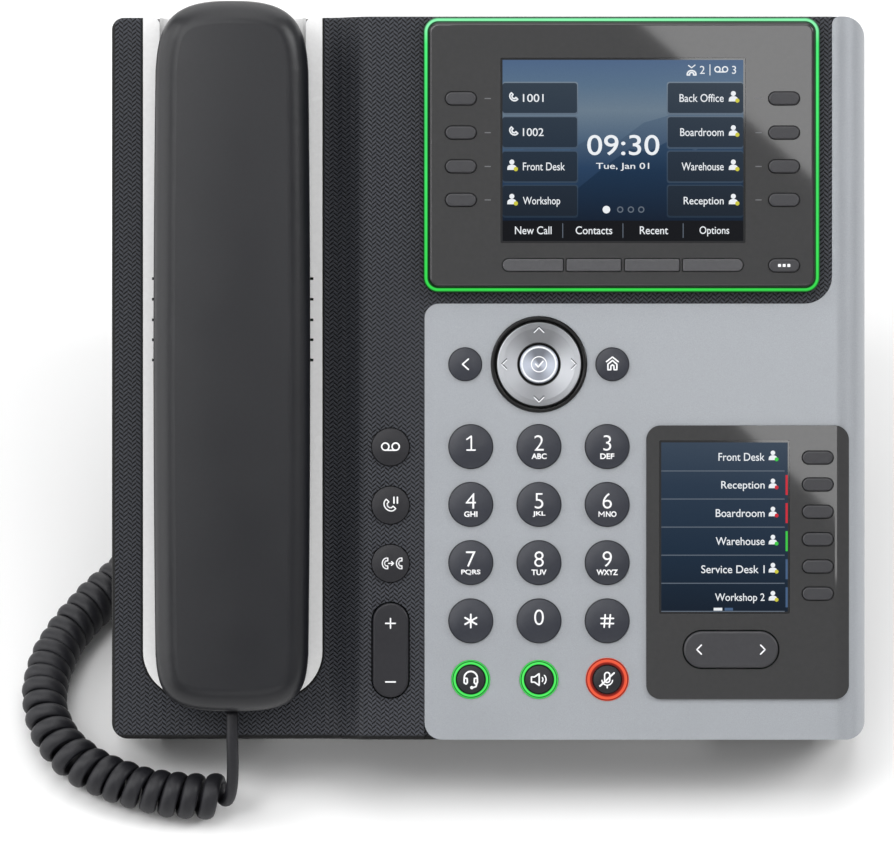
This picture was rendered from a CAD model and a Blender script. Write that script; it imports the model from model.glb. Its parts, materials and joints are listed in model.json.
import json
import math

import bmesh
import bpy
from mathutils import Matrix, Vector


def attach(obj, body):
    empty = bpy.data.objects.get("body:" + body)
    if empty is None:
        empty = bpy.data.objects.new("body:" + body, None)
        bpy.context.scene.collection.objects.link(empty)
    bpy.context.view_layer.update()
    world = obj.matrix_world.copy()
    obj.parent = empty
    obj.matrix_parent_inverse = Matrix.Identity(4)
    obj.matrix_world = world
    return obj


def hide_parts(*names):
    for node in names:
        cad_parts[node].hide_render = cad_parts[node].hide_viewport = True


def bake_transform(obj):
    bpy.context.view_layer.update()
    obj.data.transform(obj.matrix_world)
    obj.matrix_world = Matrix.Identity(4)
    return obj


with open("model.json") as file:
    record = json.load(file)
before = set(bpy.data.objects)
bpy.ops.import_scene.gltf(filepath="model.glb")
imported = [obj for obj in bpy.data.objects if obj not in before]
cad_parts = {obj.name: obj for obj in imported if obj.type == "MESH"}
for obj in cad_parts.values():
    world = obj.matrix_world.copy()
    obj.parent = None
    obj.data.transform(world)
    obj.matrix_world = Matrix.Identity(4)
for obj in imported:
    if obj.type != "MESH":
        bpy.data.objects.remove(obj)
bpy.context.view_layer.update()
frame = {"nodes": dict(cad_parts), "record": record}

NODES = frame["nodes"]
MM = 0.001

# The face frame, in mm: u to the right, v up the phone's face, w out of it. FACE turns it into the row frame.
TILT = math.radians(40.0)
STANDS_AT = Vector((0.0, -0.092, 0.0275))
FACE = Matrix.Translation(STANDS_AT) @ Matrix.Rotation(TILT, 4, "X") @ Matrix.Scale(MM, 4)
OUTWARD = Vector((0.0, -math.sin(TILT), math.cos(TILT)))


def put(name, data):
    """A new object in the scene."""
    made = bpy.data.objects.new(name, data)
    bpy.context.scene.collection.objects.link(made)
    return made


def as_mesh(curve):
    """A curve's outline or filled shape as a mesh; the curve itself is removed."""
    holder = bpy.data.objects.new(curve.name, curve)
    mesh = bpy.data.meshes.new_from_object(holder)
    bpy.data.objects.remove(holder)
    bpy.data.curves.remove(curve)
    return mesh


# ---- Camera and light ----

AIM = FACE @ Vector((-12.0, 88.9, 0.0))
CAMERA_DISTANCE = 3.0
LENS = 416.1
WORLD_LIGHT = 0.48

camera = put("camera", bpy.data.cameras.new("camera"))
camera.data.lens = LENS
camera.data.sensor_width = 36.0
camera.data.clip_start, camera.data.clip_end = 0.01, 50.0
camera.location = AIM + OUTWARD * CAMERA_DISTANCE
camera.rotation_euler = (TILT, 0, 0)
bpy.context.scene.camera = camera
bpy.context.scene.view_settings.view_transform = "Standard"


def area_light(name, location, target, size, power):
    light = bpy.data.lights.new(name, "AREA")
    light.shape = "RECTANGLE"
    light.size, light.size_y = size
    light.energy = power
    holder = put(name, light)
    holder.location = location
    holder.rotation_euler = (Vector(target) - Vector(location)).to_track_quat("-Z", "Y").to_euler()
    holder.visible_camera = False


world = bpy.context.scene.world or bpy.data.worlds.new("studio")
bpy.context.scene.world = world
world.use_nodes = True
background = world.node_tree.nodes["Background"]
background.inputs["Color"].default_value = (1.0, 1.0, 1.0, 1.0)
background.inputs["Strength"].default_value = WORLD_LIGHT

# Name, place, what it points at, size in metres, power in watts.
for lamp in (
    ("top_light", (0.0, 0.5, 3.4), (0, 0, 0.08), (2.4, 2.2), 36.0),
    ("soft_light", (-1.45, -0.95, 3.2), (0, 0, 0.08), (1.3, 1.3), 20.0),
    ("left_light", (-2.7, 0.1, 2.1), (0, 0, 0.08), (1.3, 1.8), 34.0),
    ("right_light", (2.7, -0.1, 2.3), (0, 0, 0.08), (1.3, 1.8), 46.0),
    ("front_light", (0.3, -2.9, 1.1), (0, 0, 0.05), (2.2, 0.8), 8.0),
):
    area_light(*lamp)


# Cards that only glossy surfaces see. Three hang over the face, with corners in mm: the edges of two fall as a
# slanting line across both display bezels, and the third lights the handset's left and top. One stands at the
# left and one behind, with corners in metres.
CARD_HEIGHT = 1000.0
CARDS = (
    ((41.9, 266.0), (152.8, 166.3), (290.0, 166.3), (290.0, 330.0), (41.9, 330.0)),
    ((91.2, 101.6), (164.5, 32.4), (260.0, 32.4), (260.0, 116.0), (91.2, 116.0)),
    ((-520.0, -60.0), (-330.0, -60.0), (-330.0, 365.0), (-10.0, 365.0), (-10.0, 560.0), (-520.0, 560.0)),
)
CARD_LIGHT = 4.6
WALL_CARDS = (
    ((-2.2, -1.6, 0.0), (-2.2, 1.4, 0.0), (-2.2, 1.4, 1.9), (-2.2, -1.6, 1.9)),
    ((-1.6, 2.2, 0.3), (1.6, 2.2, 0.3), (1.6, 1.4, 2.9), (-1.6, 1.4, 2.9)),
)
WALL_CARD_LIGHT = 2.2


def reflection_card(name, corners, strength):
    mesh = bpy.data.meshes.new(name)
    mesh.from_pydata([tuple(corner) for corner in corners], [], [range(len(corners))])
    card = put(name, mesh)
    glow = bpy.data.materials.new(name)
    glow.use_nodes = True
    shader = glow.node_tree.nodes["Principled BSDF"]
    shader.inputs["Base Color"].default_value = (0, 0, 0, 1)
    shader.inputs["Emission Color"].default_value = (1, 1, 1, 1)
    shader.inputs["Emission Strength"].default_value = strength
    mesh.materials.append(glow)
    card.visible_camera = False
    card.visible_diffuse = False
    card.visible_shadow = False


for index, outline in enumerate(CARDS):
    corners = [FACE @ Vector((u, v, CARD_HEIGHT)) for u, v in outline]
    reflection_card("card_" + str(index + 1), corners, CARD_LIGHT)
for index, corners in enumerate(WALL_CARDS):
    reflection_card("wall_card_" + str(index + 1), corners, WALL_CARD_LIGHT)


# ---- Materials ----

def srgb(*channels):
    """Linear colour from 0-255 display values."""
    linear = []
    for channel in channels:
        c = channel / 255
        linear.append(c / 12.92 if c <= 0.04045 else ((c + 0.055) / 1.055) ** 2.4)
    return (*linear, 1.0)


class Finish:
    """A material under construction: its Principled shader and a few node helpers."""

    def __init__(self, name, colour, roughness, **sockets):
        self.material = bpy.data.materials.new(name)
        self.material.use_nodes = True
        self.tree = self.material.node_tree
        self.shader = self.tree.nodes["Principled BSDF"]
        self.set(Base_Color=colour, Roughness=roughness, **sockets)
        self.bump_in = None

    def set(self, **sockets):
        for name, value in sockets.items():
            self.shader.inputs[name.replace("_", " ")].default_value = value

    def link(self, name, socket):
        self.tree.links.new(socket, self.shader.inputs[name.replace("_", " ")])

    def node(self, kind, *inputs, **settings):
        made = self.tree.nodes.new("ShaderNode" + kind)
        for name, value in settings.items():
            setattr(made, name, value)
        for index, value in enumerate(inputs):
            if value is None:
                continue
            if isinstance(value, bpy.types.NodeSocket):
                self.tree.links.new(value, made.inputs[index])
            else:
                made.inputs[index].default_value = value
        return made

    def maths(self, operation, *inputs):
        return self.node("Math", *inputs, operation=operation).outputs[0]

    def times(self, a, b):
        return self.maths("MULTIPLY", a, b)

    def minus(self, a, b):
        return self.maths("SUBTRACT", a, b)

    def above(self, a, b):
        return self.maths("GREATER_THAN", a, b)

    def mix(self, share, first, second, blend="MIX"):
        """The first colour where share is 0, the second where it is 1."""
        colours = (share, None, None, None, None, None, first, second)
        return self.node("Mix", *colours, data_type="RGBA", blend_type=blend).outputs[2]

    def vector(self, operation, *inputs, out=0):
        return self.node("VectorMath", *inputs, operation=operation).outputs[out]

    def metres(self):
        return self.node("TexCoord").outputs["Object"]

    def face(self):
        """Millimetres in the face frame."""
        back = Matrix.Rotation(-TILT, 3, "X") @ (STANDS_AT / MM)
        mapping = self.node("Mapping", self.metres(), tuple(-back), (-TILT, 0, 0), (1 / MM,) * 3)
        return mapping.outputs[0]

    def outline_reach(self, middle, inner_half):
        """How far a point of the face lies past a rectangle, so that round corners have one value all along."""
        flat = self.vector("MULTIPLY", self.face(), (1, 1, 0))
        from_middle = self.vector("ABSOLUTE", self.vector("SUBTRACT", flat, (*middle, 0)))
        past = self.vector("MAXIMUM", self.vector("SUBTRACT", from_middle, (*inner_half, 0)), (0, 0, 0))
        return self.vector("LENGTH", past, out=1)

    def split(self, socket):
        return self.node("SeparateXYZ", socket).outputs

    def noise(self, scale, detail=2.0, rough=0.5, over=None):
        made = self.node("TexNoise", over or self.metres())
        made.inputs["Scale"].default_value = scale
        made.inputs["Detail"].default_value = detail
        made.inputs["Roughness"].default_value = rough
        return made.outputs["Fac"]

    def ramp(self, socket, *stops):
        """Stops are (position, colour), lowest first."""
        made = self.node("ValToRGB", socket)
        elements = made.color_ramp.elements
        elements[1].position, elements[1].color = stops[-1]
        elements[0].position, elements[0].color = stops[0]
        for position, colour in stops[1:-1]:
            elements.new(position).color = colour
        return made.outputs["Color"]

    def span(self, socket, low, high, to_low, to_high, smooth=False):
        made = self.node("MapRange", socket, low, high, to_low, to_high)
        made.clamp = True
        if smooth:
            made.interpolation_type = "SMOOTHSTEP"
        return made.outputs[0]

    def bump(self, height, depth, strength=1.0):
        """Relief: height runs from 0 to 1, depth is in mm. Calls add up."""
        made = self.node("Bump")
        made.inputs["Strength"].default_value = strength
        made.inputs["Distance"].default_value = depth * MM
        self.tree.links.new(height, made.inputs["Height"])
        if self.bump_in is not None:
            self.tree.links.new(self.bump_in, made.inputs["Normal"])
        self.bump_in = made.outputs["Normal"]
        self.link("Normal", self.bump_in)

    def speckle(self, low, high, scale=900.0):
        """Base colour that varies a little between two tones."""
        self.link("Base_Color", self.ramp(self.noise(scale, 3.0), (0.3, low), (0.7, high)))

    def worn_gloss(self, low, high):
        """Roughness that varies slowly over the surface, as handled plastic does."""
        self.link("Roughness", self.span(self.noise(60.0, 3.0), 0.3, 0.7, low, high))


def moulded(name, dark, light, gloss, grain=0.02, scale=2600.0, **sockets):
    """Injection-moulded plastic: two close tones, a fine spark-eroded grain and uneven gloss."""
    finish = Finish(name, srgb(*dark), gloss[0], **sockets)
    finish.speckle(srgb(*dark), srgb(*light))
    finish.worn_gloss(*gloss)
    finish.bump(finish.noise(scale), grain)
    return finish.material


# The weave, in mm: its columns and pitch, and where it fades out at the sides, the lower edge, the rounded-over
# walls and the cradle.
COLUMN, PITCH = 1.25, 1.3
BAR_LEAN = math.tan(math.radians(38.0))
SIDE_FADE, LOW_FADE, WALL_FADE = (108.4, 108.9), (0.9, 1.5), (-17.5, -16.5)
CRADLE_MIDDLE, CRADLE_INNER_HALF = (-74.4, 161.0), (12.6, 135.5)
CRADLE_FADE = (13.9, 14.2)


def woven_plastic():
    """The front housing: a herringbone of short raised bars that lean left and right by turns."""
    finish = Finish("woven_plastic", srgb(46, 46, 50), 0.42, Specular_IOR_Level=0.22)
    u, v, w = finish.split(finish.face())
    from_left = finish.maths("ADD", u, 800.0 * COLUMN)
    zigzag = finish.maths("PINGPONG", from_left, COLUMN)
    odd = finish.above(finish.maths("FRACT", finish.maths("DIVIDE", from_left, 2 * COLUMN)), 0.5)
    step = finish.maths("MULTIPLY_ADD", odd, PITCH / 2, finish.maths("ADD", v, 1000.0))
    slanted = finish.maths("MULTIPLY_ADD", zigzag, BAR_LEAN, step)
    phase = finish.maths("FRACT", finish.maths("DIVIDE", slanted, PITCH))
    off = finish.times(finish.maths("ABSOLUTE", finish.minus(phase, 0.5)), 2.0)
    relief = finish.span(off, 0.42, 0.86, 1.0, 0.0, smooth=True)
    side = finish.span(finish.maths("ABSOLUTE", u), *SIDE_FADE, 1.0, 0.0)
    low = finish.span(v, *LOW_FADE, 0.0, 1.0)
    top = finish.span(w, *WALL_FADE, 0.0, 1.0)
    shown = finish.times(finish.times(side, low), top)
    beside_cradle = finish.outline_reach(CRADLE_MIDDLE, CRADLE_INNER_HALF)
    relief = finish.times(finish.times(relief, shown), finish.span(beside_cradle, *CRADLE_FADE, 0.0, 1.0))
    finish.link("Base_Color", finish.ramp(relief, (0.0, srgb(2, 2, 3)), (1.0, srgb(62, 64, 70))))
    finish.bump(finish.noise(3000.0), 0.008)
    finish.bump(relief, 0.2)
    return finish.material


def silver_paint():
    """Fine metallic paint with a faint sparkle."""
    finish = Finish(
        "silver_paint", srgb(163, 167, 171), 0.38, Metallic=0.35, Coat_Weight=0.15, Coat_Roughness=0.2,
    )
    flake = finish.noise(5200.0, 2.0, 0.7)
    finish.link("Base_Color", finish.ramp(flake, (0.3, srgb(147, 150, 155)), (0.7, srgb(163, 167, 172))))
    finish.worn_gloss(0.34, 0.42)
    finish.bump(flake, 0.012)
    return finish.material


# Where the bezels are polished, in mm: round the navigation key, and outside the outline of the lit frame.
NAV = (14.7, 109.0)
NAV_POLISH = (14.3, 14.5)
RING_MIDDLE, RING_INNER_HALF = (38.65, 169.75), (53.15, 35.55)
FRAME_POLISH = (2.2, 2.5)
DISPLAY_FOOT = 120.0


def bezel_plastic():
    """Satin lens plastic round the displays, black and polished by the navigation key and the lit frame."""
    finish = Finish("bezel_plastic", srgb(38, 38, 40), 0.5, Coat_Roughness=0.03, Specular_IOR_Level=0.25)
    flat = finish.vector("MULTIPLY", finish.face(), (1, 1, 0))
    reach = finish.vector("DISTANCE", flat, (*NAV, 0), out=1)
    away_from_nav = finish.span(reach, *NAV_POLISH, 0.0, 1.0)
    inside_frame = finish.span(finish.outline_reach(RING_MIDDLE, RING_INNER_HALF), *FRAME_POLISH, 1.0, 0.0)
    upper = finish.above(finish.split(finish.face())[1], DISPLAY_FOOT)
    satin = finish.times(away_from_nav, finish.maths("MAXIMUM", finish.minus(1.0, upper), inside_frame))
    grain = finish.noise(700.0, 3.0)
    tone = finish.ramp(grain, (0.3, srgb(35, 35, 36)), (0.7, srgb(39, 39, 40)))
    finish.link("Base_Color", finish.mix(satin, srgb(4, 4, 5), tone))
    finish.link("Coat_Weight", finish.span(satin, 0, 1, 0.12, 0.9))
    finish.link("Roughness", finish.span(satin, 0, 1, 0.28, 0.45))
    finish.bump(finish.noise(2600.0), 0.003)
    return finish.material


# The lit guides. The frame's glow is (share of its width, brightness) and (share of its height, colour); the
# rings round keys have bands of (radius in mm, colour).
FRAME_SPAN, FRAME_HEIGHT = (2.9, 4.3), (128.0, 210.0)
FRAME_GLOW = ((0.0, 0.03), (0.16, 0.06), (0.26, 0.9), (0.5, 1.1), (0.72, 0.8), (0.86, 0.16), (1.0, 0.05))
FRAME_TONES = ((0.0, (48, 214, 70)), (0.3, (56, 224, 92)), (0.9, (72, 240, 120)), (0.97, (140, 246, 178)))
FRAME_FOOT = 100.0
LIT_ROW = 17.5
LIT_COLUMN, LIT_PITCH = 14.7, 19.8
LIT_REACH = 8.0
GREEN_BANDS = (
    (4.2, (6, 44, 16)), (4.36, (16, 90, 30)), (4.47, (76, 232, 94)), (5.0, (84, 238, 100)),
    (5.08, (10, 70, 22)), (5.28, (10, 70, 22)), (5.35, (76, 234, 94)), (5.5, (66, 218, 84)),
    (5.6, (40, 160, 60)),
)
RED_BANDS = (
    (4.2, (50, 8, 6)), (4.55, (112, 20, 14)), (4.95, (150, 36, 24)), (5.06, (238, 88, 60)),
    (5.78, (246, 98, 68)), (5.85, (120, 24, 14)), (6.08, (120, 24, 14)), (6.15, (240, 92, 64)),
    (6.3, (206, 72, 52)),
)


def glowing_guides():
    """Light guides: a graded frame round the display, and rings of two bands round three keys, one of them
    red."""
    finish = Finish("light_guide", srgb(8, 60, 24), 0.3, Emission_Strength=1.0, Specular_IOR_Level=0.12)
    u, v, _ = finish.split(finish.face())
    across = finish.span(finish.outline_reach(RING_MIDDLE, RING_INNER_HALF), *FRAME_SPAN, 0.0, 1.0)
    frame_band = finish.ramp(across, *[(place, (light, light, light, 1)) for place, light in FRAME_GLOW])
    height = finish.span(v, *FRAME_HEIGHT, 0.0, 1.0)
    frame_tone = finish.ramp(height, *[(place, srgb(*tone)) for place, tone in FRAME_TONES])
    frame_glow = finish.mix(1.0, frame_band, frame_tone, "MULTIPLY")
    from_left = finish.maths("ADD", finish.minus(u, LIT_COLUMN), 10 * LIT_PITCH)
    du = finish.maths("PINGPONG", from_left, LIT_PITCH / 2)
    dv = finish.minus(v, LIT_ROW)
    reach = finish.maths("SQRT", finish.maths("ADD", finish.times(du, du), finish.times(dv, dv)))
    share = finish.maths("DIVIDE", reach, LIT_REACH)
    green, red = [
        finish.ramp(share, *[(radius / LIT_REACH, srgb(*tone)) for radius, tone in bands])
        for bands in (GREEN_BANDS, RED_BANDS)
    ]
    mute = finish.above(u, LIT_COLUMN + LIT_PITCH / 2)
    upper = finish.above(v, FRAME_FOOT)
    finish.link("Emission_Color", finish.mix(upper, finish.mix(mute, green, red), frame_glow))
    cloud = finish.noise(40.0, 1.0)
    finish.link("Emission_Strength", finish.span(cloud, 0.3, 0.7, 0.92, 1.06))
    red_key = finish.times(mute, finish.minus(1.0, upper))
    finish.link("Base_Color", finish.ramp(red_key, (0.0, srgb(6, 40, 16)), (1.0, srgb(56, 14, 10))))
    return finish.material


def screen_finish(name, grain, **sockets):
    """A lit display under its glossy lens; its brightness varies by grain from dot to dot."""
    finish = Finish(name, (0.004, 0.004, 0.005, 1), 0.12, Specular_IOR_Level=0.05, **sockets)
    dots = finish.noise(4000.0, 1.0)
    finish.link("Emission_Strength", finish.span(dots, 0.35, 0.65, 1 - grain, 1 + grain))
    return finish


def screen_light(name, *tone):
    """A lit area of one colour."""
    return screen_finish("screen_" + name, 0.04, Emission_Color=srgb(*tone)).material


def graded_light(name, low, high, *stops):
    """A lit area whose colour changes up the face, between two heights in mm."""
    finish = screen_finish(name, 0.03, Emission_Strength=1.0)
    height = finish.span(finish.split(finish.face())[1], low, high, 0, 1)
    finish.link("Emission_Color", finish.ramp(height, *[(place, srgb(*tone)) for place, tone in stops]))
    return finish.material


METAL_SHARE = 0.55


def turned_metal(name, tone, spread, inner, outer):
    """Spun metal round the navigation key's middle: its tone swings with the angle, and its edges are black."""
    tone = srgb(*tone)
    finish = Finish(name, tone, 0.36, Metallic=METAL_SHARE)
    point = finish.vector("SUBTRACT", finish.face(), (*NAV, 0))
    u, v, _ = finish.split(point)
    reach = finish.vector("LENGTH", finish.vector("MULTIPLY", point, (1, 1, 0)), out=1)
    angle = finish.maths("ARCTAN2", v, u)
    swing = finish.maths("COSINE", finish.times(angle, 2.0))
    lean = finish.times(finish.maths("SINE", angle), -0.25)
    share = finish.span(finish.maths("ADD", swing, lean), -1.2, 1.2, 0, 1)
    dark = tuple(c * (1 - spread) for c in tone[:3]) + (1,)
    light = tuple(min(1.0, c * (1 + spread)) for c in tone[:3]) + (1,)
    metal = finish.ramp(share, (0.1, dark), (0.9, light))
    inside = finish.span(reach, inner, inner + 0.12, 0.0, 1.0)
    shown = finish.times(inside, finish.span(reach, outer, outer + 0.12, 1.0, 0.0))
    finish.link("Base_Color", finish.mix(shown, srgb(8, 8, 10), metal))
    finish.link("Metallic", finish.times(shown, METAL_SHARE))
    rings = finish.node("CombineXYZ", reach, None, None).outputs[0]
    lines = finish.noise(9.0, 3.0, over=rings)
    finish.link("Roughness", finish.span(lines, 0.3, 0.7, 0.32, 0.44))
    finish.bump(lines, 0.006)
    return finish.material


WOVEN = woven_plastic()
SILVER = silver_paint()
BEZEL = bezel_plastic()
GUIDE = glowing_guides()
DARK = moulded("dark_plastic", (36, 36, 39), (44, 44, 47), (0.42, 0.55), 0.03, 2200.0)
HANDSET = moulded(
    "handset_plastic", (14, 15, 20), (17, 18, 23), (0.33, 0.39), 0.008, 3200.0, Specular_IOR_Level=0.4,
)
WHITE = moulded("white_plastic", (243, 243, 243), (248, 248, 248), (0.2, 0.28), 0.006)
BOARD = moulded("board_laminate", (20, 60, 38), (30, 78, 50), (0.4, 0.6))
STEEL = moulded("zinc_steel", (150, 150, 152), (176, 176, 178), (0.3, 0.42), 0.01, Metallic=1.0)
RUBBER = moulded("rubber", (28, 28, 29), (36, 36, 37), (0.75, 0.9), 0.04, 1500.0)
CAPSULE = moulded("capsule_plastic", (20, 20, 22), (28, 28, 30), (0.35, 0.5), 0.01)
KEY = moulded("key_plastic", (31, 34, 44), (35, 38, 48), (0.30, 0.38), 0.006, 3000.0)
DARK_KEY = moulded(
    "dark_key_plastic", (24, 24, 29), (28, 28, 33), (0.34, 0.42), 0.006, 3000.0, Specular_IOR_Level=0.35,
)
BEZEL_KEY = moulded("bezel_key_plastic", (39, 39, 43), (44, 44, 48), (0.38, 0.46), 0.006, 3000.0)
SOFT_KEY = moulded("soft_key_plastic", (62, 62, 65), (67, 67, 70), (0.38, 0.46), 0.006, 3000.0)
NAV_METAL = turned_metal("nav_metal", (150, 152, 156), 0.4, 6.3, 12.05)
SELECT_METAL = turned_metal("select_metal", (150, 155, 166), 0.45, -1.0, 5.5)
VINYL = moulded(
    "cord_vinyl", (22, 22, 27), (28, 28, 33), (0.46, 0.56), 0.012, 1800.0,
    Specular_IOR_Level=0.3, Coat_Weight=0.06, Coat_Roughness=0.3,
)
PLUG_PLASTIC = moulded("plug_plastic", (150, 152, 156), (168, 170, 174), (0.12, 0.2), 0.004)
INK = moulded("white_ink", (238, 238, 240), (246, 246, 248), (0.45, 0.55), 0.004)
CHEVRON_INK = moulded("chevron_ink", (70, 72, 76), (78, 80, 84), (0.45, 0.55), 0.004)
INK_METAL = moulded("bright_metal", (226, 228, 232), (238, 240, 243), (0.22, 0.3), 0.004)
GREY_INK = moulded("grey_ink", (96, 97, 100), (104, 105, 108), (0.45, 0.55), 0.004)
GLASS = Finish("display_glass", (0.006, 0.007, 0.009, 1), 0.05, Coat_Weight=0.5, Coat_Roughness=0.02).material

SLOT_FINISH = {
    "dark_texture": WOVEN, "dark_plastic": DARK, "silver": SILVER, "bezel": BEZEL, "light_guide": GUIDE,
    "screen": GLASS, "white": WHITE, "board": BOARD, "steel": STEEL, "rubber": RUBBER, "cord": VINYL,
    "handset": HANDSET, "capsule": CAPSULE, "nav_metal": NAV_METAL, "key": KEY, "bezel_key": BEZEL_KEY,
}


def paint(thing, material):
    if not thing.data.materials:
        thing.data.materials.append(material)
    for index in range(len(thing.material_slots)):
        thing.material_slots[index].link = "OBJECT"
        thing.material_slots[index].material = material


for entry in frame["record"]["subparts"]:
    paint(NODES[entry["node"]], SLOT_FINISH[entry["material_slot"]])
paint(NODES["key_select"], SELECT_METAL)
for index in range(1, 5):
    paint(NODES["soft_key_" + str(index)], SOFT_KEY)
for key in ("voicemail", "hold", "transfer", "headset", "speaker", "mute"):
    paint(NODES["key_" + key], DARK_KEY)
paint(NODES["volume_rocker"], DARK_KEY)


# ---- Floor and shared shapes ----

FLOOR_HALF = 4.0

floor_finish = Finish("studio_floor", srgb(250, 250, 250), 0.6)
floor_finish.speckle(srgb(250, 250, 250), srgb(252, 252, 252), 3.0)
floor_mesh = bpy.data.meshes.new("floor")
corners = [(x * FLOOR_HALF, y * FLOOR_HALF, 0.0) for x, y in ((-1, -1), (1, -1), (1, 1), (-1, 1))]
floor_mesh.from_pydata(corners, [], [(0, 1, 2, 3)])
floor_mesh.materials.append(floor_finish.material)
put("floor", floor_mesh)


def new_piece(name, mesh, material, body):
    """A finished mesh in the row frame, riding on its body."""
    made = put(name, mesh)
    mesh.materials.clear()
    mesh.materials.append(material)
    if body:
        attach(made, body)
    return made


def swept(x, y, across, up, start, end, steps):
    """Points along part of an ellipse, from start to end degrees."""
    turns = [math.radians(start + (end - start) * step / steps) for step in range(steps + 1)]
    return [(x + across * math.cos(turn), y + up * math.sin(turn)) for turn in turns]


# ---- Cord: two straight leads with the coil between them ----

def millimetres(points):
    return [tuple(c * MM for c in point) for point in points]


COIL_HEIGHT = 7.0
COIL_FLAT = (
    (-76.5, -96.9), (-84.5, -96.9), (-93.0, -96.2), (-101.5, -94.0), (-109.5, -90.6),
    (-117.0, -86.4), (-123.3, -80.4), (-127.8, -72.6), (-130.3, -63.6), (-130.2, -54.6),
    (-128.3, -45.8), (-124.8, -37.2), (-119.8, -29.0), (-113.6, -20.8), (-106.6, -12.8),
    (-99.6, -4.6), (-93.4, 4.4), (-88.6, 14.0),
)
COIL_ROUTE = millimetres((x, y, COIL_HEIGHT) for x, y in COIL_FLAT)
HANDSET_LEAD = millimetres((
    (-74.35, -85.89, 33.27), (-74.35, -90.0, 29.8), (-74.3, -93.9, 25.2), (-74.2, -97.1, 19.4),
    (-73.7, -99.5, 13.0), (-73.0, -101.2, 7.6), (-73.2, -102.4, 4.0), (-76.0, -102.0, 3.4),
))
BASE_LEAD = millimetres((
    (-66.3, 41.73, 85.93), (-71.5, 41.7, 85.7), (-76.6, 41.5, 83.4), (-80.4, 41.0, 78.4),
    (-83.0, 40.2, 70.0), (-84.4, 38.8, 59.0), (-85.0, 36.6, 47.0), (-85.0, 33.8, 35.0),
    (-84.8, 30.6, 24.4), (-84.6, 26.8, 15.6), (-85.0, 22.0, 9.6), (-86.4, 18.0, 7.2),
))
HELIX_RADIUS = 5.2 * MM
PITCH_FRONT, PITCH_SIDE = 5.5 * MM, 4.7 * MM
PITCH_CHANGE = (0.050, 0.085)
FIRST_TURN_ANGLE = math.radians(215.0)
STEPS_PER_TURN = 30
LAST_TURN = 3.0 * MM
# Slow waves, as (share, turns to radians, start), that keep the turns from being all alike.
RADIUS_WAVES = ((0.02, 0.9, 0.0), (0.015, 2.3, 1.0))
PITCH_WAVES = ((0.05, 1.7, 0.0), (0.04, 0.6, 2.0))
LEAD_STEP = 1.5 * MM
LEAD_HALF = 1.75 * MM
COIL_HALF = (2.45 * MM, 1.55 * MM)
FLATTENED_AFTER = 0.6
SIDES = 14
# Where the handset's lead turns into the coil, and the smoothing at each join as (points each way, passes).
JOIN_REACH, JOIN_ASIDE = 6.0 * MM, 2.0 * MM
BASE_JOIN, HANDSET_JOIN = (14, 60), (12, 40)


def spline_points(name, route):
    """Points along the route's NURBS spline."""
    curve = bpy.data.curves.new(name, "CURVE")
    curve.dimensions = "3D"
    curve.resolution_u = 24
    spline = curve.splines.new("NURBS")
    spline.points.add(len(route) - 1)
    for point, place in zip(spline.points, route):
        point.co = (*place, 1.0)
    spline.order_u = 3
    spline.use_endpoint_u = True
    mesh = as_mesh(curve)
    points = [vertex.co.copy() for vertex in mesh.vertices]
    bpy.data.meshes.remove(mesh)
    return points


def lengths_along(points):
    run = [0.0]
    for a, b in zip(points, points[1:]):
        run.append(run[-1] + (b - a).length)
    return run


def sample(points, run, s):
    """The point and direction at s along a polyline."""
    s = min(max(s, 0.0), run[-1])
    low, high = 0, len(run) - 2
    while low < high:
        index = (low + high + 1) // 2
        if run[index] <= s:
            low = index
        else:
            high = index - 1
    step = run[low + 1] - run[low]
    share = (s - run[low]) / step if step > 0 else 0.0
    ahead = points[min(low + 2, len(points) - 1)] - points[low + 1]
    here = points[low + 1] - points[low]
    direction = here.normalized().lerp(ahead.normalized(), share) if ahead.length > 0 else here
    return points[low].lerp(points[low + 1], share), direction.normalized()


def resampled(points, step):
    run = lengths_along(points)
    count = max(2, round(run[-1] / step))
    return [sample(points, run, run[-1] * i / count)[0] for i in range(count + 1)]


def smooth_between(low, high, value):
    t = min(max((value - low) / (high - low), 0.0), 1.0)
    return t * t * (3 - 2 * t)


def waved(waves, turn):
    return 1.0 + sum(share * math.sin(turn * rate + start) for share, rate, start in waves)


def coil_points():
    """The helix from the handset's end to the base's, as (point, outward direction) pairs."""
    axis = spline_points("coil_axis", COIL_ROUTE)
    run = lengths_along(axis)
    rows = []
    s, angle, turn = 0.0, FIRST_TURN_ANGLE, 0.0
    up = Vector((0, 0, 1))
    while s < run[-1]:
        centre, ahead = sample(axis, run, s)
        side = ahead.cross(up).normalized()
        outward = side * math.cos(angle) + up * math.sin(angle)
        ending = smooth_between(run[-1], run[-1] - LAST_TURN, s)
        rows.append((centre + outward * HELIX_RADIUS * waved(RADIUS_WAVES, turn) * ending, outward))
        change = smooth_between(*PITCH_CHANGE, s)
        pitch = PITCH_FRONT + (PITCH_SIDE - PITCH_FRONT) * change
        s += pitch * waved(PITCH_WAVES, turn) / STEPS_PER_TURN
        angle += 2 * math.pi / STEPS_PER_TURN
        turn += 1.0 / STEPS_PER_TURN
    return rows


def relaxed(points, middle, reach, passes):
    """The points with the stretch round one of them smoothed."""
    points = [p.copy() for p in points]
    for _ in range(passes):
        for i in range(max(1, middle - reach), min(len(points) - 1, middle + reach)):
            points[i] = points[i] * 0.5 + (points[i - 1] + points[i + 1]) * 0.25
    return points


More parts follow.
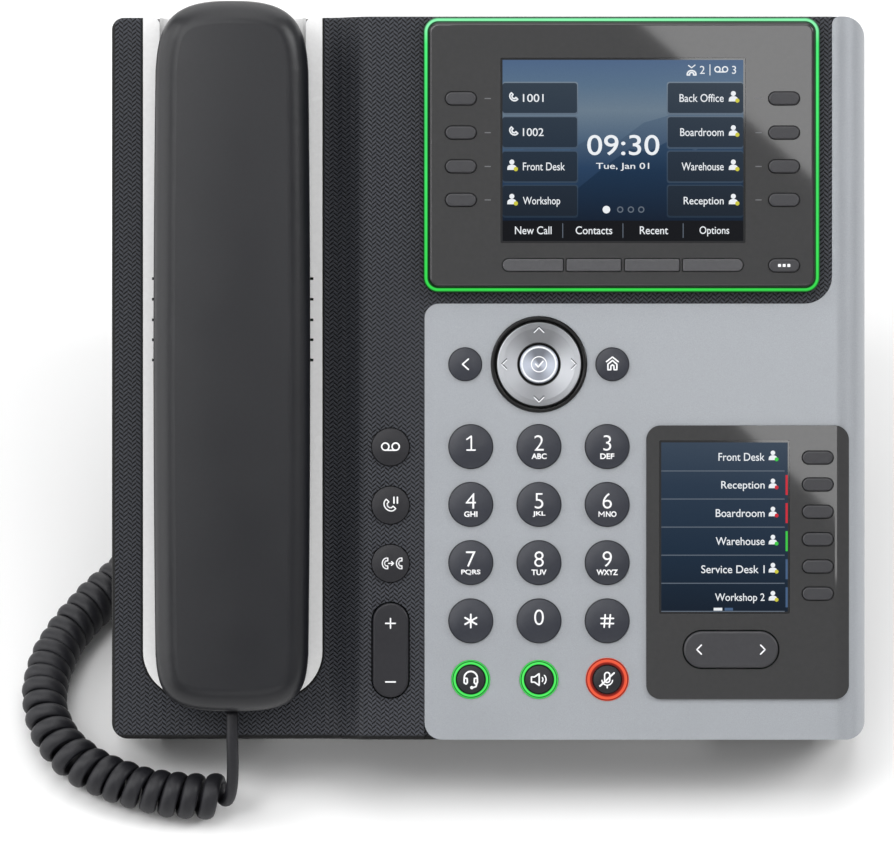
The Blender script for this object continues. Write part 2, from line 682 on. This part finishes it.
def tube(name, rings):
    """A tube from rings of points, closed at both ends."""
    mesh = bpy.data.meshes.new(name)
    sides = len(rings[0])
    verts = [tuple(p) for ring in rings for p in ring]
    faces = []
    for i in range(len(rings) - 1):
        for j in range(sides):
            a, b = i * sides + j, i * sides + (j + 1) % sides
            faces.append((a, b, b + sides, a + sides))
    faces.append(tuple(range(sides - 1, -1, -1)))
    faces.append(tuple(range(len(verts) - sides, len(verts))))
    mesh.from_pydata(verts, [], faces)
    mesh.polygons.foreach_set("use_smooth", [True] * len(mesh.polygons))
    return mesh


def cord_line():
    """The centreline from the base plug to the handset, each coil point's outward direction, and where the coil
    starts and ends."""
    base = resampled(spline_points("base_lead", BASE_LEAD), LEAD_STEP)
    handset = resampled(spline_points("handset_lead", HANDSET_LEAD), LEAD_STEP)
    coil = coil_points()
    near = coil[0][0]
    while (handset[-1] - near).length < JOIN_REACH or handset[-1].x < near.x + JOIN_ASIDE:
        handset.pop()
    line = base[:-1] + [p for p, _ in coil[::-1]] + handset[::-1]
    first, last = len(base) - 1, len(base) - 1 + len(coil)
    outward = {first + i: n for i, (_, n) in enumerate(coil[::-1])}
    line = relaxed(line, first, *BASE_JOIN)
    line = relaxed(line, last, *HANDSET_JOIN)
    return line, outward, first, last


def cord_rings():
    """The centreline, and the rings of a section that is round in the leads and flattened in the coil."""
    line, outward, first, last = cord_line()
    rings, frames = [], {}
    radial = None
    order = list(range(first, len(line))) + list(range(first - 1, -1, -1))
    for i in order:
        ahead = (line[min(i + 1, len(line) - 1)] - line[max(i - 1, 0)]).normalized()
        if i == first - 1:
            radial = frames[first][1]
        if i in outward:
            radial = outward[i]
        radial = (radial - ahead * radial.dot(ahead)).normalized()
        frames[i] = (ahead, radial)
    for i in range(len(line)):
        ahead, radial = frames[i]
        across = ahead.cross(radial)
        inside = min(i - first, last - i) / STEPS_PER_TURN
        share = smooth_between(0.0, FLATTENED_AFTER, inside)
        wide = LEAD_HALF + (COIL_HALF[0] - LEAD_HALF) * share
        thick = LEAD_HALF + (COIL_HALF[1] - LEAD_HALF) * share
        section = swept(0, 0, wide, thick, 0, 360, SIDES)[:-1]
        rings.append([line[i] + across * u + radial * v for u, v in section])
    return line, rings


cord_path, cord_ring_list = cord_rings()
cord = new_piece("handset_cord", tube("handset_cord", cord_ring_list), VINYL, None)
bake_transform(cord)
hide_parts("cord_coil", "cord_leads")


# ---- The modular plug at the base ----

PLUG_V, PLUG_W = 140.0, -41.2
PLUG_HALF = (3.85, 2.9)
PLUG_ENDS = (-64.0, -56.0)
RELIEF_RINGS = 5


def rounded_block(mesh, low, high, bevel):
    """A box with all its edges rounded, added to a bmesh."""
    size = [b - a for a, b in zip(low, high)]
    middle = [(a + b) / 2 for a, b in zip(low, high)]
    matrix = Matrix.Translation(middle) @ Matrix.Diagonal((*size, 1.0))
    made = bmesh.ops.create_cube(mesh, size=1.0, matrix=matrix)
    edges = {edge for vert in made["verts"] for edge in vert.link_edges}
    bmesh.ops.bevel(mesh, geom=list(edges), offset=bevel, segments=3, affect="EDGES", profile=0.5)


def base_plug():
    """A small modular plug with its latch on top and a ribbed strain relief behind."""
    mesh = bmesh.new()
    rounded_block(
        mesh, (PLUG_ENDS[0], PLUG_V - PLUG_HALF[0], PLUG_W - PLUG_HALF[1]),
        (PLUG_ENDS[1], PLUG_V + PLUG_HALF[0], PLUG_W + PLUG_HALF[1]), 0.45,
    )
    latch = [(-57.0, 2.7), (-57.0, 3.3), (-63.2, 4.6), (-63.9, 4.4), (-63.9, 3.9), (-63.2, 3.9)]
    sides = [
        [mesh.verts.new((u, PLUG_V + side * 1.6, PLUG_W + w)) for u, w in latch] for side in (-1, 1)
    ]
    for a in range(len(latch)):
        b = (a + 1) % len(latch)
        mesh.faces.new((sides[0][a], sides[0][b], sides[1][b], sides[1][a]))
    mesh.faces.new(sides[0][::-1])
    mesh.faces.new(sides[1])
    rings = []
    for step in range(4 * RELIEF_RINGS + 1):
        share = step / (4 * RELIEF_RINGS)
        radius = 2.6 - 0.5 * share + (0.18 if step % 4 in (1, 2) else -0.12)
        rings.append([
            mesh.verts.new((PLUG_ENDS[0] + 0.4 - 2.7 * share, v, w))
            for v, w in swept(PLUG_V, PLUG_W, radius, radius, 0, 360, 24)[:-1]
        ])
    for lower, upper in zip(rings, rings[1:]):
        for j in range(24):
            mesh.faces.new((lower[j], lower[(j + 1) % 24], upper[(j + 1) % 24], upper[j]))
    mesh.faces.new(rings[0][::-1])
    mesh.faces.new(rings[-1])
    bmesh.ops.recalc_face_normals(mesh, faces=mesh.faces)
    bmesh.ops.transform(mesh, matrix=FACE, verts=mesh.verts)
    made = bpy.data.meshes.new("base_plug")
    mesh.to_mesh(made)
    mesh.free()
    return made


plug = new_piece("base_plug", base_plug(), PLUG_PLASTIC, "root")


# ---- Flat artwork: printed legends and display graphics ----

class Art:
    """Flat shapes in mm, laid on a surface and given a little thickness."""

    def __init__(self):
        self.mesh = bmesh.new()

    def polygon(self, points):
        self.mesh.faces.new([self.mesh.verts.new((x, y, 0)) for x, y in points])
        return self

    def box(self, x0, y0, x1, y1, radius=0.0):
        if radius <= 0:
            return self.polygon([(x0, y0), (x1, y0), (x1, y1), (x0, y1)])
        points = []
        for cx, cy, start in (
            (x1 - radius, y0 + radius, -90), (x1 - radius, y1 - radius, 0),
            (x0 + radius, y1 - radius, 90), (x0 + radius, y0 + radius, 180),
        ):
            points += swept(cx, cy, radius, radius, start, start + 90, 6)
        return self.polygon(points)

    def disc(self, x, y, radius):
        return self.polygon(swept(x, y, radius, radius, 0, 360, 28)[:-1])

    def stroke(self, points, width, closed=False):
        """A line of constant width with round ends and joints."""
        half = width / 2
        pairs = list(zip(points, points[1:])) + ([(points[-1], points[0])] if closed else [])
        for (ax, ay), (bx, by) in pairs:
            base = math.degrees(math.atan2(by - ay, bx - ax))
            far_end = swept(bx, by, half, half, base - 90, base + 90, 6)
            self.polygon(far_end + swept(ax, ay, half, half, base + 90, base + 270, 6))
        return self

    def arc(self, x, y, radius, start, end, width, steps=None):
        """Part of a ring, from start to end degrees."""
        steps = steps or max(6, round(abs(end - start) / 10))
        rows = []
        for i in range(steps + 1):
            turn = math.radians(start + (end - start) * i / steps)
            c, s = math.cos(turn), math.sin(turn)
            reaches = (radius - width / 2, radius + width / 2)
            rows.append([self.mesh.verts.new((x + reach * c, y + reach * s, 0)) for reach in reaches])
        if abs(end - start) == 360:
            for vert in rows[-1]:
                self.mesh.verts.remove(vert)
            rows[-1] = rows[0]
        for (a, b), (c, d) in zip(rows, rows[1:]):
            self.mesh.faces.new((a, b, d, c))
        return self

    def ring(self, x, y, radius, width):
        return self.arc(x, y, radius, 0, 360, width, 36)

    def text(self, words, x, y, height, width=None, weight=0.0, align=0.5):
        """Generic lettering fitted to a height, and to a width if one is given; x, y is its middle."""
        curve = bpy.data.curves.new("lettering", "FONT")
        curve.body = words
        curve.offset = weight
        curve.resolution_u = 6
        glyphs = as_mesh(curve)
        xs = [v.co.x for v in glyphs.vertices]
        ys = [v.co.y for v in glyphs.vertices]
        tall = height / (max(ys) - min(ys))
        wide = width / (max(xs) - min(xs)) if width else tall
        left = x - (max(xs) - min(xs)) * wide * align
        foot = y - height / 2
        for vertex in glyphs.vertices:
            vertex.co = (left + (vertex.co.x - min(xs)) * wide, foot + (vertex.co.y - min(ys)) * tall, 0)
        self.mesh.from_mesh(glyphs)
        bpy.data.meshes.remove(glyphs)
        return self

    def shifted(self, x, y, turn=0.0):
        move = Matrix.Translation((x, y, 0)) @ Matrix.Rotation(math.radians(turn), 4, "Z")
        bmesh.ops.transform(self.mesh, matrix=move, verts=self.mesh.verts)
        return self

    def add(self, other):
        spare = bpy.data.meshes.new("spare")
        other.mesh.to_mesh(spare)
        self.mesh.from_mesh(spare)
        bpy.data.meshes.remove(spare)
        return self

    def lay(self, name, surface, material, body, slot, rise=0.06, sink=0.05, longest=0.9):
        """Cut long edges, thicken, drape over surface(u, v), and ride on the body."""
        mesh = self.mesh
        bmesh.ops.triangulate(mesh, faces=mesh.faces)
        for _ in range(6):
            long_edges = [e for e in mesh.edges if e.calc_length() > longest]
            if not long_edges:
                break
            bmesh.ops.subdivide_edges(mesh, edges=long_edges, cuts=1)
            bmesh.ops.triangulate(mesh, faces=mesh.faces)
        for face in mesh.faces:
            if face.normal.z < 0:
                face.normal_flip()
        grown = bmesh.ops.extrude_face_region(mesh, geom=list(mesh.faces))
        raised = [g for g in grown["geom"] if isinstance(g, bmesh.types.BMVert)]
        lifted = set(raised)
        for vert in mesh.verts:
            level = surface(vert.co.x, vert.co.y)
            vert.co.z = level + rise if vert in lifted else level - sink
        bmesh.ops.recalc_face_normals(mesh, faces=mesh.faces)
        bmesh.ops.transform(mesh, matrix=FACE, verts=mesh.verts)
        made = bpy.data.meshes.new(name)
        mesh.to_mesh(made)
        mesh.free()
        return new_piece(name, made, material, body)


def dome(u, v, top, radius):
    """The surface of a key whose top is part of a sphere."""
    return lambda x, y: top - radius + math.sqrt(radius * radius - (x - u) ** 2 - (y - v) ** 2)


def level(w):
    return lambda x, y: w


# ---- Legends on the keys ----

# Places in mm on the face; a dome is the height of its top and its radius.
DIAL_COLUMNS = (-5.1, 14.7, 34.5)
DIAL_ROWS = (85.1, 68.3, 51.4, 34.5)
FUNCTION_COLUMN = -28.4
DIAL_DOME, LIT_DOME, SMALL_DOME, FUNCTION_DOME = (1.6, 32.0), (1.2, 22.0), (1.4, 26.0), (1.2, 34.0)
DIAL_KEYS = (
    (("1", ""), ("2", "ABC"), ("3", "DEF")), (("4", "GHI"), ("5", "JKL"), ("6", "MNO")),
    (("7", "PQRS"), ("8", "TUV"), ("9", "WXYZ")), (("star", ""), ("0", ""), ("hash", "")),
)
LETTER_WIDTHS = {
    "ABC": 4.4, "DEF": 4.1, "GHI": 3.9, "JKL": 3.7, "PQRS": 5.6, "TUV": 4.4, "WXYZ": 6.2,
}
LINE = 0.42


def star_sign():
    art = Art()
    for turn in (90, 30, 150):
        c, s = 1.9 * math.cos(math.radians(turn)), 1.9 * math.sin(math.radians(turn))
        art.stroke([(-c, -s), (c, s)], 0.5)
    return art


def hash_sign():
    art = Art()
    for shift in (-0.75, 0.75):
        art.stroke([(shift - 0.15, -1.8), (shift + 0.15, 1.8)], 0.45)
        art.stroke([(-1.8, shift), (1.8, shift)], 0.45)
    return art


def back_sign():
    return Art().stroke([(0.9, 1.5), (-0.8, 0.0), (0.9, -1.5)], LINE)


def home_sign():
    art = Art().stroke([(-1.7, 0.75), (0.0, 2.1), (1.7, 0.75)], LINE)
    walls = [(-0.45, -1.6), (-1.3, -1.6), (-1.3, 0.0), (0.0, 1.1), (1.3, 0.0), (1.3, -1.6), (0.45, -1.6)]
    return art.stroke(walls + [(0.45, -0.5), (0.0, -0.15), (-0.45, -0.5)], LINE, closed=True)


def voicemail_sign():
    art = Art().ring(-1.5, 0.1, 1.05, LINE).ring(1.5, 0.1, 1.05, LINE)
    return art.stroke([(-1.5, -0.95), (1.5, -0.95)], LINE)


def receiver_outline(size=1.0):
    """A telephone receiver lying with its hollow side up, its outline closed."""
    points = swept(0, 0.9 * size, 2.1 * size, 1.75 * size, 180, 360, 12)
    points += [(2.1 * size, 1.3 * size), (0.95 * size, 1.3 * size), (0.95 * size, 0.5 * size)]
    points += swept(0, 0.75 * size, 0.85 * size, 0.7 * size, -30, -150, 6)
    points += [(-0.95 * size, 0.5 * size), (-0.95 * size, 1.3 * size), (-2.1 * size, 1.3 * size)]
    return points


def receiver(size=1.0, width=0.36):
    return Art().stroke(receiver_outline(size), width, closed=True)


def hold_sign():
    art = receiver(0.92).shifted(-0.7, -0.5, -45)
    return art.stroke([(1.0, 0.6), (1.0, 2.3)], LINE).stroke([(2.0, 0.6), (2.0, 2.3)], LINE)


def transfer_sign():
    art = receiver(0.74, 0.34).shifted(-1.75, 0, -90)
    art.add(receiver(0.74, 0.34).shifted(2.35, 0, -90))
    return art.stroke([(-0.55, 0.0), (0.85, 0.0)], 0.34).stroke([(0.3, 0.55), (0.9, 0.0), (0.3, -0.55)], 0.34)


def headset_sign():
    art = Art().arc(0, 0.45, 1.9, 0, 180, 0.48)
    for side in (-1, 1):
        cup = [(1.9, 0.45), (1.95, -0.9), (1.35, -1.3), (1.0, -0.9), (1.05, 0.3)]
        art.stroke([(side * u, v) for u, v in cup], 0.46, closed=True)
    return art.stroke([(1.8, -1.1), (1.5, -2.05), (0.55, -2.35)], 0.46).disc(0.3, -2.35, 0.48)


def speaker_sign():
    horn = [(-2.2, 0.75), (-1.3, 0.75), (0.05, 1.7), (0.05, -1.7), (-1.3, -0.75), (-2.2, -0.75)]
    art = Art().stroke(horn, LINE, closed=True)
    return art.arc(0.3, 0, 0.85, -50, 50, 0.36).arc(0.3, 0, 1.75, -48, 48, 0.36)


def mute_sign():
    art = Art().stroke([(-0.75, 1.3), (-0.75, -0.1)], LINE).stroke([(0.75, 1.3), (0.75, -0.1)], LINE)
    art.arc(0, 1.3, 0.75, 0, 180, LINE).arc(0, -0.1, 0.75, 180, 360, LINE)
    art.arc(0, -0.1, 1.55, 180, 360, 0.36).stroke([(0, -1.65), (0, -2.4)], LINE)
    return art.stroke([(-2.1, -1.9), (2.0, 1.9)], 0.5)


def page_sign():
    art = Art().stroke([(-8.6, 1.3), (-9.9, 0), (-8.6, -1.3)], 0.4)
    return art.stroke([(8.6, 1.3), (9.9, 0), (8.6, -1.3)], 0.4)


def more_sign():
    art = Art()
    for shift in (-1.35, 0, 1.35):
        art.box(shift - 0.42, -0.42, shift + 0.42, 0.42, 0.1)
    return art


def volume_sign():
    art = Art().stroke([(-1.4, 7.8), (1.4, 7.8)], 0.4).stroke([(0, 6.4), (0, 9.2)], 0.4)
    return art.stroke([(-1.4, -9.2), (1.4, -9.2)], 0.4)


def legend(body, art, u, v, surface, slot="key"):
    art.shifted(u, v).lay("legend_" + body, surface, INK, body, slot)


for row, v in zip(DIAL_KEYS, DIAL_ROWS):
    for (digit, letters), u in zip(row, DIAL_COLUMNS):
        art = Art()
        if digit == "star":
            art = star_sign()
        elif digit == "hash":
            art = hash_sign()
        elif digit == "1":
            art.stroke([(-1.15, 2.1), (0.15, 3.05), (0.15, -1.0)], LINE)
            art.stroke([(-1.1, -1.0), (1.25, -1.0)], LINE)
        else:
            art.text(digit, 0, 1.05, 4.5, weight=-0.008)
        if letters == "MNO":
            art.stroke([(-2.4, -3.5), (-2.4, -2.1), (-1.65, -3.0), (-0.9, -2.1), (-0.9, -3.5)], 0.26)
            art.text("NO", 1.15, -2.8, 1.65, 3.1, weight=0.03)
        elif letters:
            art.text(letters, 0, -2.8, 1.65, LETTER_WIDTHS[letters], weight=0.03)
        legend("key_" + digit, art, u, v, dome(u, v, *DIAL_DOME))

for key, art, u, v, shape in (
    ("key_headset", headset_sign(), DIAL_COLUMNS[0], LIT_ROW, LIT_DOME),
    ("key_speaker", speaker_sign(), DIAL_COLUMNS[1], LIT_ROW, LIT_DOME),
    ("key_mute", mute_sign(), DIAL_COLUMNS[2], LIT_ROW, LIT_DOME),
    ("key_back", back_sign(), -6.7, NAV[1], SMALL_DOME),
    ("key_home", home_sign(), 36.0, NAV[1], SMALL_DOME),
    ("key_voicemail", voicemail_sign(), FUNCTION_COLUMN, 85.0, FUNCTION_DOME),
    ("key_hold", hold_sign(), FUNCTION_COLUMN, 68.1, FUNCTION_DOME),
    ("key_transfer", transfer_sign(), FUNCTION_COLUMN, 51.2, FUNCTION_DOME),
):
    legend(key, art, u, v, dome(u, v, *shape))
legend("volume_rocker", volume_sign(), FUNCTION_COLUMN, 26.0, level(1.2))
legend("page_rocker", page_sign(), 70.4, 26.2, level(1.7), slot="bezel_key")
legend("key_more", more_sign(), 85.7, 137.6, level(5.6), slot="bezel_key")

for tone, finish, shift in (("dark", CHEVRON_INK, 0.2), ("light", INK_METAL, -0.2)):
    nav_marks = Art()
    for turn in (0, 90, 180, 270):
        nav_marks.add(Art().stroke([(9.4, 1.4), (10.8, 0.0), (9.4, -1.4)], 0.3).shifted(0, 0, turn))
    nav_marks.shifted(NAV[0], NAV[1] + shift)
    nav_marks.lay("legend_nav_" + tone, level(1.3), finish, "nav_ring", "nav_metal")
select_mark = Art().ring(0, 0, 2.2, 0.3).stroke([(-1.0, 0.05), (-0.25, -0.8), (1.15, 0.85)], 0.4)
legend("key_select", select_mark, *NAV, lambda x, y: 0.7 + ((x - NAV[0]) ** 2 + (y - NAV[1]) ** 2) / 80)
Art().ring(*NAV, 4.95, 0.5).lay("select_rim", level(1.0), INK_METAL, "key_select", "key")

ticks = Art()
for v in (186.0, 176.1, 166.3, 156.6):
    ticks.box(-1.1, v - 0.14, 0.7, v + 0.14).box(77.4, v - 0.14, 79.2, v + 0.14)
ticks.lay("line_ticks", level(5.0), GREY_INK, "root", "bezel", rise=0.02, sink=0.04)


# ---- Main display ----

MAIN_SCREEN = (4.1, 144.7, 73.9, 197.2)
MAIN_LEVEL = 4.7
SIDE_SCREEN = (50.2, 37.2, 86.9, 86.3)
SIDE_LEVEL = 0.6
LAYER = 0.03

WHITE_LIGHT = screen_light("white", 236, 240, 244)
DIM_LIGHT = screen_light("dim", 96, 106, 118)
BLACK_LIGHT = screen_light("black", 12, 14, 17)
YELLOW_LIGHT = screen_light("yellow", 206, 200, 64)
GREEN_LIGHT = screen_light("green", 60, 200, 70)
RED_LIGHT = screen_light("red", 206, 40, 56)
BLUE_LIGHT = screen_light("blue", 70, 96, 130)
SKY = graded_light(
    "screen_sky", 144.7, 197.2, (0.0, (6, 18, 32)), (0.2, (14, 38, 60)), (0.5, (58, 84, 112)),
    (0.72, (104, 122, 138)), (0.86, (86, 110, 134)), (1.0, (76, 100, 132)),
)
FAR_RIDGE = graded_light(
    "screen_far_ridge", 150.0, 182.0, (0.0, (10, 30, 50)), (0.5, (36, 62, 92)), (1.0, (86, 106, 126)),
)
NEAR_RIDGE = graded_light(
    "screen_near_ridge", 148.0, 176.0, (0.0, (8, 22, 38)), (0.6, (20, 46, 72)), (1.0, (44, 70, 98)),
)
TILE = graded_light("screen_tile", 150.0, 192.0, (0.0, (22, 32, 43)), (0.5, (34, 47, 61)), (1.0, (50, 62, 74)))
TILE_EDGE = graded_light(
    "screen_tile_edge", 150.0, 192.0, (0.0, (28, 44, 60)), (0.5, (62, 80, 100)), (1.0, (118, 132, 146)),
)
SIDE_SKY = graded_light(
    "side_screen_sky", 37.2, 86.3,
    (0.0, (14, 28, 42)), (0.35, (24, 42, 60)), (0.75, (38, 54, 72)), (1.0, (54, 68, 84)),
)


def layer(art, name, material, depth, panel=MAIN_LEVEL):
    """Display graphics, stacked in thin layers over their panel."""
    return art.lay(
        name, level(panel), material, "root", "screen",
        rise=LAYER * depth, sink=-LAYER * (depth - 0.9), longest=60.0,
    )


def ridge(low, points):
    """A mountain silhouette from a base line up to its crest points."""
    return Art().polygon([(points[-1][0], low), *points[::-1], (points[0][0], low)][::-1])


def person(art, badge, u, v, size=1.0):
    """A head and shoulders with a small status badge at its lower right."""
    art.disc(u, v + 1.3 * size, 0.72 * size)
    shoulders = swept(u, v - 0.3 * size, 1.3 * size, 0.85 * size, 180, 0, 8)
    shoulders = [(u - 1.35 * size, v - 1.0 * size), *shoulders, (u + 1.35 * size, v - 1.0 * size)]
    art.polygon(shoulders[::-1])
    badge.disc(u + 1.15 * size, v - 0.75 * size, 0.62 * size)


LEFT, BOTTOM, RIGHT, TOP = MAIN_SCREEN
BAR_TOP = 150.6
TILE_ROWS = ((190.5, 181.8), (180.6, 171.9), (170.6, 162.0), (160.7, 152.0))
TILE_LEFT = (LEFT, 25.8)
TILE_RIGHT = (51.9, RIGHT)

layer(Art().box(LEFT, BOTTOM, RIGHT, TOP), "screen_background", SKY, 1)
layer(
    ridge(BAR_TOP, [(LEFT, 169.0), (14, 172.5), (22, 170.0), (30, 175.0), (37, 173.0), (45, 179.0), (52, 181.0),
                    (58, 184.5), (66, 188.0), (RIGHT, 191.5)]),
    "screen_far_ridge", FAR_RIDGE, 2,
)
layer(
    ridge(BAR_TOP, [(LEFT, 156.0), (16, 159.5), (26, 160.0), (34, 166.5), (41, 171.5), (46, 170.5), (52, 173.5),
                    (60, 171.0), (68, 174.5), (RIGHT, 173.0)]),
    "screen_near_ridge", NEAR_RIDGE, 3,
)
edges, tiles = Art(), Art()
for top, low in TILE_ROWS:
    edges.box(TILE_LEFT[0], low - 0.55, TILE_LEFT[1] + 0.2, top + 0.35, 0.8)
    edges.box(TILE_RIGHT[0] - 0.2, low - 0.55, TILE_RIGHT[1], top + 0.35, 0.8)
    tiles.box(TILE_LEFT[0], low, TILE_LEFT[1] - 0.1, top, 0.7)
    tiles.box(TILE_RIGHT[0] + 0.1, low, TILE_RIGHT[1], top, 0.7)
layer(edges, "screen_tile_edges", TILE_EDGE, 4)
layer(tiles, "screen_tiles", TILE, 5)
layer(Art().box(LEFT, BOTTOM, RIGHT, BAR_TOP), "screen_key_bar", BLACK_LIGHT, 6)

white, badges, faint = Art(), Art(), Art()
LABELS_LEFT = (("1001", 6.0), ("1002", 6.0), ("Front Desk", 12.2), ("Workshop", 10.8))
LABELS_RIGHT = (("Back Office", 12.8), ("Boardroom", 12.6), ("Warehouse", 12.2), ("Reception", 11.6))
KEY_LABELS = (("New Call", 10.6), ("Contacts", 10.6), ("Recent", 8.2), ("Options", 8.6))


def words(art, text, u, v, width, align, height=2.3):
    """A short generic label; u is its left end, middle or right end by align. Tails hang below the line."""
    drop = 0.26 * height if any(letter in "gpy" for letter in text) else 0.0
    tall = height + drop
    art.text(text, u, v - drop / 2, tall, width, weight=0.004, align=align)


for index, (top, low) in enumerate(TILE_ROWS):
    middle = (top + low) / 2
    if index < 2:
        white.add(receiver(0.62, 0.42).shifted(7.0, middle, -45))
    else:
        person(white, badges, 6.8, middle)
    words(white, LABELS_LEFT[index][0], 10.0, middle, LABELS_LEFT[index][1], 0)
    person(white, badges, 71.0, middle)
    words(white, LABELS_RIGHT[index][0], 68.2, middle, LABELS_RIGHT[index][1], 1)
white.text("09:30", 39.1, 172.5, 5.9, 20.9, weight=0.004)
words(white, "Tue, Jan 01", 38.9, 166.2, 15.4, 0.5)
white.disc(34.2, 153.8, 1.1)
for u in (38.2, 41.3, 44.3):
    faint.ring(u, 153.8, 0.75, 0.35)
for index, (label, width) in enumerate(KEY_LABELS):
    words(white, label, (13.0, 30.6, 48.0, 65.5)[index], 147.8, width, 0.5)
    if index:
        faint.box(LEFT + 17.45 * index - 0.12, 145.6, LEFT + 17.45 * index + 0.12, 149.8)
white.text("2", 62.0, 194.3, 2.3)
white.box(64.1, 192.7, 64.35, 195.9)
white.text("3", 71.2, 194.3, 2.3)
white.ring(66.4, 194.45, 0.75, 0.36).ring(68.6, 194.45, 0.75, 0.36).stroke([(66.4, 193.7), (68.6, 193.7)], 0.36)
white.add(receiver(0.6, 0.42).shifted(58.9, 193.6, 180))
white.stroke([(58.0, 195.6), (58.9, 194.9), (59.9, 195.7)], 0.3)
layer(faint, "screen_faint_marks", DIM_LIGHT, 7)
layer(white, "screen_marks", WHITE_LIGHT, 7)
layer(badges, "screen_badges", YELLOW_LIGHT, 8)


# ---- Side display ----

LEFT, BOTTOM, RIGHT, TOP = SIDE_SCREEN
SIDE_PITCH = 8.15
layer(Art().box(LEFT, BOTTOM, RIGHT, TOP), "side_background", SIDE_SKY, 1, SIDE_LEVEL)
rules, names, online, busy, away, grey = Art(), Art(), Art(), Art(), Art(), Art()
side_rows = (
    ("Front Desk", 13.4, online, None), ("Reception", 12.6, busy, busy), ("Boardroom", 14.2, busy, busy),
    ("Warehouse", 14.2, online, online), ("Service Desk 1", 18.4, away, grey), ("Workshop 2", 14.4, away, grey),
)
for index, (label, width, badge, flag) in enumerate(side_rows):
    middle = 82.1 - SIDE_PITCH * index
    rules.box(LEFT, middle - SIDE_PITCH / 2 - 0.14, RIGHT - 0.9, middle - SIDE_PITCH / 2 + 0.14)
    person(names, badge, 82.6, middle, 0.92)
    words(names, label, 80.2, middle, width, 1)
    if flag is not None:
        flag.box(RIGHT - 0.62, middle - 2.9, RIGHT, middle + 2.9)
names.box(65.4, 37.5, 67.9, 38.3)
grey.box(68.6, 37.5, 71.0, 38.3)
for art, name, light, depth in (
    (rules, "rules", DIM_LIGHT, 2), (names, "names", WHITE_LIGHT, 3), (grey, "grey_marks", BLUE_LIGHT, 3),
    (online, "green_marks", GREEN_LIGHT, 4), (busy, "red_marks", RED_LIGHT, 4),
    (away, "yellow_marks", YELLOW_LIGHT, 4),
):
    layer(art, "side_" + name, light, depth, SIDE_LEVEL)
